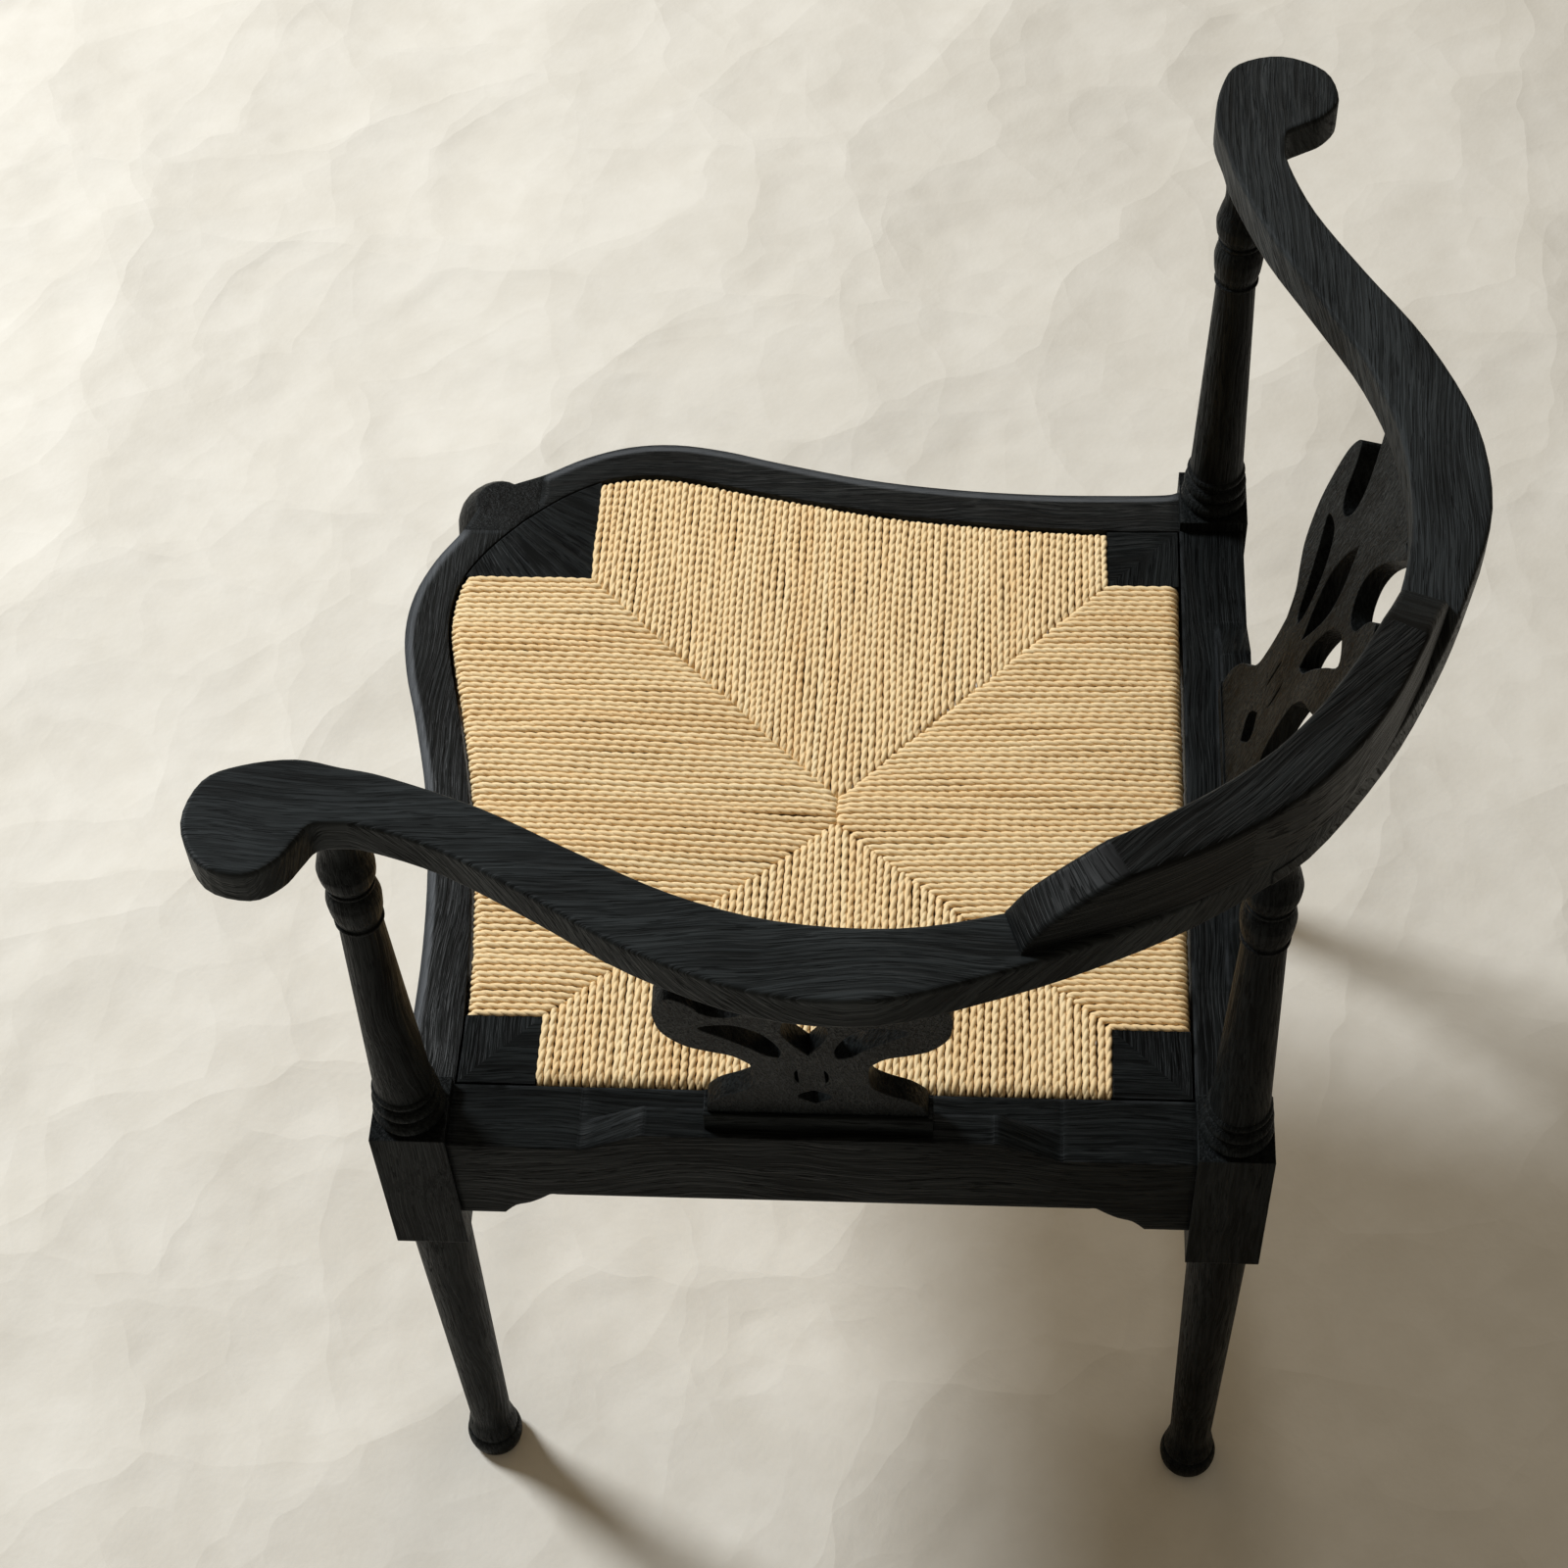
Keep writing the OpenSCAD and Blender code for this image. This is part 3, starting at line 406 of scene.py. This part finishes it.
# The arms' lighter colours are painted sheen
left_arm = black_wood("black_wood_arm_left", along_rear_left, ARM_PAINTED_SHEEN, 0.0015, 0.05)
right_arm = black_wood("black_wood_arm_right", along_rear_right, ARM_PAINTED_SHEEN, 0.0015, 0.05)
stacked = black_wood("black_wood_stacked", grain_stacked, softened=0.002, sheen=0.08)
mitred = black_wood("black_wood_mitred", grain_mitred)
fan = black_wood("black_wood_fan", grain_fan)
bare_left = bare_wood("plain_wood_left", along_rear_left)
bare_right = bare_wood("plain_wood_right", along_rear_right)
bare_cross = bare_wood("plain_wood_cross", grain_along((1, 0)))

DRESS = {
    knee: ["front_leg"],
    upright: ["left_post", "back_post", "right_post", "splat_left", "splat_right"],
    left_way: ["shoe_left"],
    right_way: ["shoe_right"],
    left_rear: ["rear_rail_left"],
    right_rear: ["rear_rail_right"],
    left_arm: ["arm_left"],
    right_arm: ["arm_right"],
    right_front: ["front_rail_right"],
    left_front: ["front_rail_left"],
    stacked: ["crest_rail"],
    mitred: ["seat_corner_left", "seat_corner_back", "seat_corner_right"],
    fan: ["seat_corner_front"],
    bare_left: ["seat_stick_rear_left", "seat_stick_front_right"],
    bare_right: ["seat_stick_rear_right", "seat_stick_front_left"],
    bare_cross: ["glue_block_front", "glue_block_left", "glue_block_back", "glue_block_right"],
    steel(): ["crest_screws", "glue_block_screws"],
}
for material, names in DRESS.items():
    for name in names:
        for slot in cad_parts[name].material_slots:
            slot.material = material


# Mesh building

def mesh_piece(name, points, faces, material, body, smooth=True):
    """A mesh from points in metres and faces of point numbers, riding on a body."""
    data = bpy.data.meshes.new(name)
    points = np.asarray(points, float)
    faces = np.asarray(faces, int)
    sides = faces.shape[1]
    data.vertices.add(len(points))
    data.vertices.foreach_set("co", points.ravel())
    data.loops.add(faces.size)
    data.loops.foreach_set("vertex_index", faces.ravel())
    data.polygons.add(len(faces))
    data.polygons.foreach_set("loop_start", np.arange(0, faces.size, sides))
    data.polygons.foreach_set("loop_total", np.full(len(faces), sides))
    data.polygons.foreach_set("use_smooth", np.full(len(faces), smooth))
    data.update(calc_edges=True)
    data.validate()
    data.materials.append(material)
    made = bpy.data.objects.new(name, data)
    bpy.context.collection.objects.link(made)
    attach(made, body)
    return made


def to_row(points):
    """From the seat square's own frame, whose sides lie along x and y, to the chair's, in metres."""
    points = np.asarray(points, float)
    x = ROOT_HALF * (points[..., 0] + points[..., 1])
    y = ROOT_HALF * (points[..., 1] - points[..., 0])
    return np.stack([x, y, points[..., 2]], -1) * MM


# Woven seat, in millimetres. A place on one of its four sides is t along the side and d out from the
# seat's middle.

SIDE_NAMES = ["rear_left", "rear_right", "front_right", "front_left"]
REAR_LEFT, REAR_RIGHT, FRONT_RIGHT, FRONT_LEFT = range(4)
CORD_COUNTS = [76, 78, 80, 77]

# Values of the solids: half of the seat frame and of its opening, the seat's corner pieces, the sticks
# in the weave, and how far the middle dips below the rim
HALF = 228.0
OPENING = 207.0
SEAT_INNER = 161.5
STICK_OUT = 7.0
STICK_W = 20.0
WEAVE_DIP = 6.0
weave_low, weave_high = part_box("woven_seat")
WEAVE_BOTTOM = round(weave_low[2] / MM, 3)
WEAVE_TOP = round(weave_high[2] / MM, 3)
# The dish ends this far beyond the corner pieces' inner faces, and this much above the rim
DISH_REACH = SEAT_INNER + 10
DISH_RIM = 0.5

# Gap between the rails and the cords
WEAVE_GAP = 1.2
# How far a ply's middle is from the cord's, a ply's radius, and the length of a ply's full turn
PLY_OFFSET = 0.60
PLY_R = 1.68
LAY = 15.5
CORD_R = PLY_OFFSET + PLY_R
# Bends of the cord at the rim and where it tucks down, and its straight end below the tuck
RIM_R = 5.0
TUCK_R = 2.6
TAIL = 1.5
RIM_POINTS = 7
TUCK_POINTS = 6
DISH_POINTS = 16
# The seam at the middle, where the cords of two sides meet: its length and its gap
SEAM = 19.0
SEAM_GAP = 0.4


def curve(a, b, c, d, t):
    """The smooth curve from b to c that the solids have too."""
    square = 2 * a - 5 * b + 4 * c - d
    cube = 3 * b - a - 3 * c + d
    return 0.5 * (2 * b + (c - a) * t + square * t ** 2 + cube * t ** 3)


def spline(points, n):
    p = [np.array(q, float) for q in points]
    last = len(p) - 1
    line = []
    for i in range(last):
        for j in range(n):
            line.append(curve(p[max(i - 1, 0)], p[i], p[i + 1], p[min(i + 2, last)], j / n))
    line.append(p[last])
    return np.array(line)


# The front rails' inner line as distance along the rail's side and distance from the seat's middle
FRONT_LINE = spline([
    (-OPENING, OPENING), (60 - HALF, HALF - 21.5), (109 - HALF, HALF - 19.5), (159 - HALF, HALF - 15),
    (209 - HALF, HALF - 9), (HALF - 173, HALF + 6), (HALF - 133, HALF + 15.5), (HALF - 102, HALF + 20),
    (HALF - 72, HALF + 16.5), (HALF - 44, HALF + 2), (HALF - 19, HALF - 19),
], 4)


def rim_distance(side, t):
    """How far from the seat's middle the rail's inner face is, for a cord at t on that side."""
    if side in (REAR_LEFT, REAR_RIGHT):
        return OPENING
    towards_corner = t if side == FRONT_LEFT else -t
    return float(np.interp(towards_corner, FRONT_LINE[:, 0], FRONT_LINE[:, 1]))


def dip(d):
    """How far the weave lies below its rim, in a shallow dish."""
    return max(0.0, (WEAVE_DIP + DISH_RIM) * (1 - d / DISH_REACH) - DISH_RIM)


def cord_end(side, t):
    """Where a cord tucks down: on a diagonal, or for two sides on the seam at the middle."""
    slope = SEAT_INNER / (SEAT_INNER - SEAM)
    if side == REAR_LEFT:
        return SEAM + abs(t) / slope
    if side == FRONT_RIGHT:
        return abs(t)
    rearward = t if side == REAR_RIGHT else -t
    return max(SEAM_GAP, (rearward - SEAM) * slope, -rearward)


def bend(centre, radius, start, end, n):
    a = np.radians(np.linspace(start, end, n))
    return np.stack([centre[0] + radius * np.cos(a), centre[1] + radius * np.sin(a)], -1)


def cord_line(side, t):
    """One cord's centre line in its upright plane, from its tuck on top round the rim to the one below,
    the length up to each of its points, and the length at which it turns under."""
    outer = rim_distance(side, t) - WEAVE_GAP - CORD_R
    inner = cord_end(side, t)
    high = WEAVE_TOP - CORD_R
    low = WEAVE_BOTTOM + CORD_R
    end_high = high - dip(inner + TUCK_R)
    top_d = np.linspace(inner + TUCK_R, outer - RIM_R, DISH_POINTS)
    top = np.stack([top_d, [high - dip(d) for d in top_d]], -1)
    upper = np.concatenate([
        [(inner, end_high - TUCK_R - TAIL)],
        bend((inner + TUCK_R, end_high - TUCK_R), TUCK_R, 180, 90, TUCK_POINTS),
        top[1:-1],
        bend((outer - RIM_R, high - RIM_R), RIM_R, 90, 0, RIM_POINTS),
        bend((outer - RIM_R, low + RIM_R), RIM_R, 0, -90, RIM_POINTS),
    ])
    lower = np.concatenate([
        bend((inner + TUCK_R, low + TUCK_R), TUCK_R, -90, -180, TUCK_POINTS),
        [(inner, low + TUCK_R + TAIL)],
    ])
    line = np.concatenate([upper, lower])
    steps = np.linalg.norm(np.diff(line, axis=0), axis=1)
    length = np.concatenate([[0], np.cumsum(steps)])
    return line, length, length[len(upper) - 1]


def on_side(side, t, d, z):
    """A place on a side, in the square's own frame."""
    ways = [(t, d), (-d, t), (-t, -d), (d, -t)]
    x, y = ways[side]
    return np.stack([x, y, z], -1)


# How the cords stray from straight, even rows

# Waves in which a side's cords lean over together: size, length across the cords, length along them
SWAYS = [(0.55, 90.0, 260.0), (0.3, 47.0, -150.0), (0.14, 23.0, 95.0)]
SWAY_SHIFT = 1.7
# Places where the cords lie apart: side, place across the cords, width, middle and half length along
# them
PARTED = [
    (FRONT_RIGHT, -99, 0.75, 215, 45), (FRONT_RIGHT, 60, 0.25, 150, 50), (FRONT_RIGHT, -30, 0.2, 90, 50),
    (FRONT_LEFT, -15, 0.9, 25, 32), (FRONT_LEFT, 49, 0.35, 150, 80), (FRONT_LEFT, 105, 0.35, 180, 40),
    (FRONT_LEFT, -60, 0.3, 150, 60), (REAR_LEFT, 40, 0.3, 120, 60), (REAR_RIGHT, 12, 0.5, 10, 25),
    (REAR_RIGHT, 90, 0.25, 160, 40), (REAR_RIGHT, -50, 0.25, 140, 50),
]
# How quickly the push changes sides at such a place, and how far across the cords it reaches
PARTED_TURN = 1.5
PARTED_REACH = 14
# At the seam the cords draw together: the share, how far across and how far along them it reaches
DRAWN = 0.25
DRAWN_ACROSS = 16
DRAWN_ALONG = 14
# The last stretch of a cord that ends at the seam bends aside: how far, and over what length
ASIDE = 1.1
ASIDE_ALONG = 6
# Rows are straight again towards a side's ends, over this length
STRAIGHT_EDGE = 25
# What each cord does by itself: the size and the length of its waves. The twist's size is in radians,
# and the thickness's is a share.
STRAY = {"place": (0.18, 30.0), "height": (0.16, 22.0), "twist": (1.4, 45.0), "thickness": (0.045, 14.0)}
# The twist's difference from cord to cord, so that the bulges of one lie beside the waists of the
# next, and its random spread
NEXT_TWIST = 0.38 * math.pi
TWIST_SPREAD = 0.8


def stray(rng, s, kind):
    """A gentle random wander along a cord."""
    size, wave = STRAY[kind]
    knots = rng.normal(size=int(s[-1] / wave) + 4)
    at = s / wave
    i = at.astype(int)
    f = at - i
    f = f * f * (3 - 2 * f)
    return size * (knots[i] * (1 - f) + knots[i + 1] * f)


def leaning(side, t, d):
    """How far the cords of a side lean over together, so that they lie closer here and wider there."""
    total = 0.0
    for size, wave_t, wave_d in SWAYS:
        phase = 2 * math.pi * (d / wave_d + t / wave_t) + SWAY_SHIFT * side + wave_t
        total = total + size * np.sin(phase)
    return total


def parting(side, t, d):
    """How far a cord is pushed aside where its neighbours lie apart."""
    total = 0.0
    for where, at, width, middle, spread in PARTED:
        if where == side:
            aside = math.tanh((t - at) / PARTED_TURN) * math.exp(-abs(t - at) / PARTED_REACH)
            total = total + width * aside * np.exp(-((d - middle) / spread) ** 2)
    return total


def seam_pull(side, t, d):
    """How far a cord of the two sides that meet at the seam is pulled aside near it."""
    if side in (REAR_LEFT, FRONT_RIGHT):
        return 0.0
    way = 1 if side == REAR_RIGHT else -1
    seam_middle = way * SEAM / 2
    near = math.exp(-((t - seam_middle) / DRAWN_ACROSS) ** 2)
    drawn = DRAWN * near * (seam_middle - t) * np.exp(-d / DRAWN_ALONG)
    return drawn + way * ASIDE * np.exp(-(d - cord_end(side, t)) / ASIDE_ALONG)


# Distance between the rings of a ply on top and underneath, and a ply's sides there
STEP_TOP = 2.2
STEP_UNDER = 2.8
SIDES_TOP = 8
SIDES_UNDER = 5
FEWEST_STEPS = 4


def ring_places(split, end):
    """Lengths along a cord at which its rings lie, and how many of them lie on top."""
    count_top = max(FEWEST_STEPS, round(split / STEP_TOP))
    count_under = max(FEWEST_STEPS, round((end - split) / STEP_UNDER))
    top = np.linspace(0, split, count_top + 1)
    under = np.linspace(split, end, count_under + 1)[1:]
    return np.concatenate([top, under]), len(top)


def cord_plies(side, t, n, rng):
    """Rings of the two plies of a side's cord number n, in the order they are passed, and how many
    lie on top."""
    line, length, split = cord_line(side, t)
    s, top_count = ring_places(split, length[-1])
    d = np.interp(s, length, line[:, 0])
    z = np.interp(s, length, line[:, 1])
    ahead_d, ahead_z = np.gradient(d, s), np.gradient(z, s)
    size = np.hypot(ahead_d, ahead_z)
    normal_d, normal_z = -ahead_z / size, ahead_d / size
    loose = min(1.0, (SEAT_INNER - abs(t)) / STRAIGHT_EDGE)
    pushed = leaning(side, t, d) + parting(side, t, d) + seam_pull(side, t, d)
    middle = t + loose * pushed + stray(rng, s, "place")
    lift = stray(rng, s, "height")
    turn = NEXT_TWIST * n + 2 * math.pi * (s + cord_end(side, t)) / LAY
    turn = turn + TWIST_SPREAD * rng.normal() + stray(rng, s, "twist")
    plies = []
    for half_turn in (0, math.pi):
        side_off = PLY_OFFSET * np.sin(turn + half_turn)
        up_off = PLY_OFFSET * np.cos(turn + half_turn) + lift
        thick = PLY_R * (1 + stray(rng, s, "thickness"))
        centre = middle + side_off, d + up_off * normal_d, z + up_off * normal_z
        plies.append((*centre, normal_d, normal_z, thick, turn + half_turn))
    return plies, top_count


def ply_rings(side, ply, first, last, sides):
    """Points of one ply's rings from one ring number to another, and how much painted shade each gets
    for lying deep between cords: beside the next cord, underneath, or against the other ply."""
    t, d, z, normal_d, normal_z, thick, turn = [values[first:last, None] for values in ply]
    around = np.arange(sides) * 2 * math.pi / sides
    beside, above = np.cos(around), np.sin(around)
    points = on_side(
        side, t + beside * thick, d + above * thick * normal_d, z + above * thick * normal_z,
    )
    towards_partner = np.maximum(0, -(beside * np.sin(turn) + above * np.cos(turn)))
    # Painted shade: darker where a ply lies beside the next cord, underneath, or against its partner
    groove_shade = 0.45 * np.abs(beside) ** 3 + 0.9 * np.maximum(0, -above) + 0.6 * towards_partner ** 2
    return points, np.clip(groove_shade, 0, 1)


def tube_faces(rings, sides, start):
    i = np.arange(rings - 1)[:, None]
    j = np.arange(sides)[None, :]
    k = (j + 1) % sides
    quads = np.stack([i * sides + j, i * sides + k, (i + 1) * sides + k, (i + 1) * sides + j], -1)
    return quads.reshape(-1, 4) + start


# Margins on the flat map: at a ply's ends as a share of the map, and beside it as a share of its row
MAP_END = 0.005
MAP_BESIDE = 0.06


def strip_map(rings, sides, row, rows):
    """Where a ply's faces lie on the flat map: one row for each ply."""
    i = np.arange(rings - 1)[:, None]
    j = np.arange(sides)[None, :]
    low, high = i / (rings - 1), (i + 1) / (rings - 1)
    left, right = j / sides, (j + 1) / sides
    flat = []
    for u, v in [(low, left), (low, right), (high, right), (high, left)]:
        along = MAP_END + (1 - 2 * MAP_END) * u
        across = (row + MAP_BESIDE + (1 - 2 * MAP_BESIDE) * v) / rows
        flat.append(np.stack(np.broadcast_arrays(along, across), -1))
    return np.stack(flat, 2).reshape(-1, 2)


# How much lighter a cord's second ply is than its first
PLY_TONE = 0.08


def gather_cords(name, side, cords, part, sides):
    """One mesh from the top or the bottom of a side's cords."""
    points, faces, tones, groove_shades, flat = [], [], [], [], []
    start = 0
    for n, (plies, split, tone) in enumerate(cords):
        total = len(plies[0][0])
        first, last = (0, split) if part == "top" else (split - 1, total)
        for m, ply in enumerate(plies):
            rings, groove_shade = ply_rings(side, ply, first, last, sides)
            points.append(rings.reshape(-1, 3))
            faces.append(tube_faces(last - first, sides, start))
            flat.append(strip_map(last - first, sides, 2 * n + m, 2 * len(cords)))
            tones.append(np.full(groove_shade.size, tone + PLY_TONE * m))
            groove_shades.append(groove_shade.ravel())
            start += groove_shade.size
    points = to_row(np.concatenate(points))
    made = mesh_piece(name, points, np.concatenate(faces), cord_material, "seat")
    for label, values in (("tone", tones), ("groove_shade", groove_shades)):
        attribute = made.data.attributes.new(label, "FLOAT", "POINT")
        attribute.data.foreach_set("value", np.concatenate(values))
    layer = made.data.uv_layers.new(name="OFBake")
    layer.uv.foreach_set("vector", np.concatenate(flat).ravel())
    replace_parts(made, "woven_seat")


CORD_SEED = 11
# Tone of the cords, from 0, dark, to 1, light
TONE_MIDDLE = 0.5
TONE_SPREAD = 0.22
cord_material = paper_cord()

for side, side_name in enumerate(SIDE_NAMES):
    rng = np.random.default_rng(CORD_SEED + side)
    pitch = 2 * SEAT_INNER / CORD_COUNTS[side]
    cords = []
    for n in range(CORD_COUNTS[side]):
        t = -SEAT_INNER + (n + 0.5) * pitch
        plies, split = cord_plies(side, t, n, rng)
        tone = float(np.clip(rng.normal(TONE_MIDDLE, TONE_SPREAD), 0, 1))
        cords.append((plies, split, tone))
    gather_cords("cords_top_" + side_name, side, cords, "top", SIDES_TOP)
    gather_cords("cords_under_" + side_name, side, cords, "under", SIDES_UNDER)


# Card stuffing between the upper and lower cords, in millimetres: one triangle to a side, of three
# sheets

SHEETS = 3
# Squares along each way of a sheet's mesh
SHEET_GRID = 24
# Distance of a triangle's tip from the seat's middle, and of its long side from the sticks
SHEET_TIP = 14.0
STUFFING_GAP = 6.0
# Each sheet lies this much further in than the one below, and the sheets lie twice this gap apart
SHEET_STEP = 0.5
SHEET_GAP = 0.1
# Size of a sheet's waves, their lengths out from the middle and along the side, and its roughness
SHEET_WAVE = 0.15
WAVE_OUT = 11
WAVE_ALONG = 13
SHEET_ROUGH = 0.03
CARD_SEED = 5
STUFFING_H = 5.0
STUFFING_MID = (WEAVE_TOP + WEAVE_BOTTOM - WEAVE_DIP) / 2
STUFFING_REACH = OPENING - STICK_OUT - STICK_W - STUFFING_GAP


def sheet_points(side, sheet, rng):
    """The lower and then the upper face of one slightly wavy sheet, each from the tip outwards."""
    n = SHEET_GRID
    thick = STUFFING_H / SHEETS
    low = STUFFING_MID - STUFFING_H / 2 + sheet * thick
    points = []
    for level in (low + SHEET_GAP, low + thick - SHEET_GAP):
        for i in range(n + 1):
            flat_d = SHEET_TIP + (STUFFING_REACH - SHEET_TIP) * i / n - SHEET_STEP * sheet
            for j in range(n + 1):
                t = (flat_d - SHEET_TIP) * (2 * j / n - 1)
                # The front triangles follow the bow of the rails in their outer third
                bow = rim_distance(side, t) - OPENING
                d = flat_d + bow * max(0.0, 3 * i / n - 2)
                wave = math.sin(d / WAVE_OUT + sheet) * math.sin(t / WAVE_ALONG + side)
                z = level + SHEET_WAVE * wave + SHEET_ROUGH * rng.normal()
                points.append(on_side(side, t, d, z))
    return points


def sheet_faces(start):
    """Both faces of a sheet and its rim, for points that are numbered from start."""
    n = SHEET_GRID
    row = n + 1
    layer = row * row
    faces = []
    for i in range(n):
        for j in range(n):
            a = start + i * row + j
            faces.append((a, a + row, a + row + 1, a + 1))
            b = a + layer
            faces.append((b, b + 1, b + row + 1, b + row))
    border = [i * row for i in range(n)] + [n * row + j for j in range(n)]
    border += [i * row + n for i in range(n, 0, -1)] + list(range(n, 0, -1))
    for a, b in zip(border, border[1:] + border[:1]):
        faces.append((start + a, start + b, start + b + layer, start + a + layer))
    return faces


def stuffing_piece():
    """Four triangles of layered card."""
    rng = np.random.default_rng(CARD_SEED)
    points, faces = [], []
    for side in range(4):
        for sheet in range(SHEETS):
            faces += sheet_faces(len(points))
            points += sheet_points(side, sheet, rng)
    return mesh_piece("seat_card", to_row(points), faces, card(), "seat", smooth=False)


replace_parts(stuffing_piece(), "seat_stuffing")


# Floor and light

FLOOR_REACH = 9.0
WORLD_COLOUR = (1.0, 0.84, 0.62, 1)
WORLD_STRENGTH = 0.21


def floor_piece():
    data = bpy.data.meshes.new("floor")
    low, high = -FLOOR_REACH, FLOOR_REACH
    corners = [(low, low, 0), (high, low, 0), (high, high, 0), (low, high, 0)]
    data.from_pydata(corners, [], [(0, 1, 2, 3)])
    data.materials.append(floor_paper())
    made = bpy.data.objects.new("floor", data)
    bpy.context.collection.objects.link(made)


def area_light(name, place, target, size, power, colour):
    data = bpy.data.lights.new(name, "AREA")
    data.shape = "DISK"
    data.size = size
    data.energy = power
    data.color = colour
    made = bpy.data.objects.new(name, data)
    made.location = place
    made.rotation_euler = (Vector(target) - Vector(place)).to_track_quat("-Z", "Y").to_euler()
    bpy.context.collection.objects.link(made)


floor_piece()
area_light(
    "window", place=(0.86, -3.4, 3.5), target=(2.2, -0.8, 0), size=1.3, power=238,
    colour=(0.96, 0.985, 1.0),
)
area_light(
    "second_window", place=(-2.7, -2.7, 3.2), target=(0, 0, 0.3), size=0.45, power=34,
    colour=(1.0, 0.94, 0.85),
)

world = bpy.data.worlds.new("world")
world.use_nodes = True
background = world.node_tree.nodes["Background"]
background.inputs["Color"].default_value = WORLD_COLOUR
background.inputs["Strength"].default_value = WORLD_STRENGTH
bpy.context.scene.world = world
bpy.context.scene.view_settings.view_transform = "Standard"
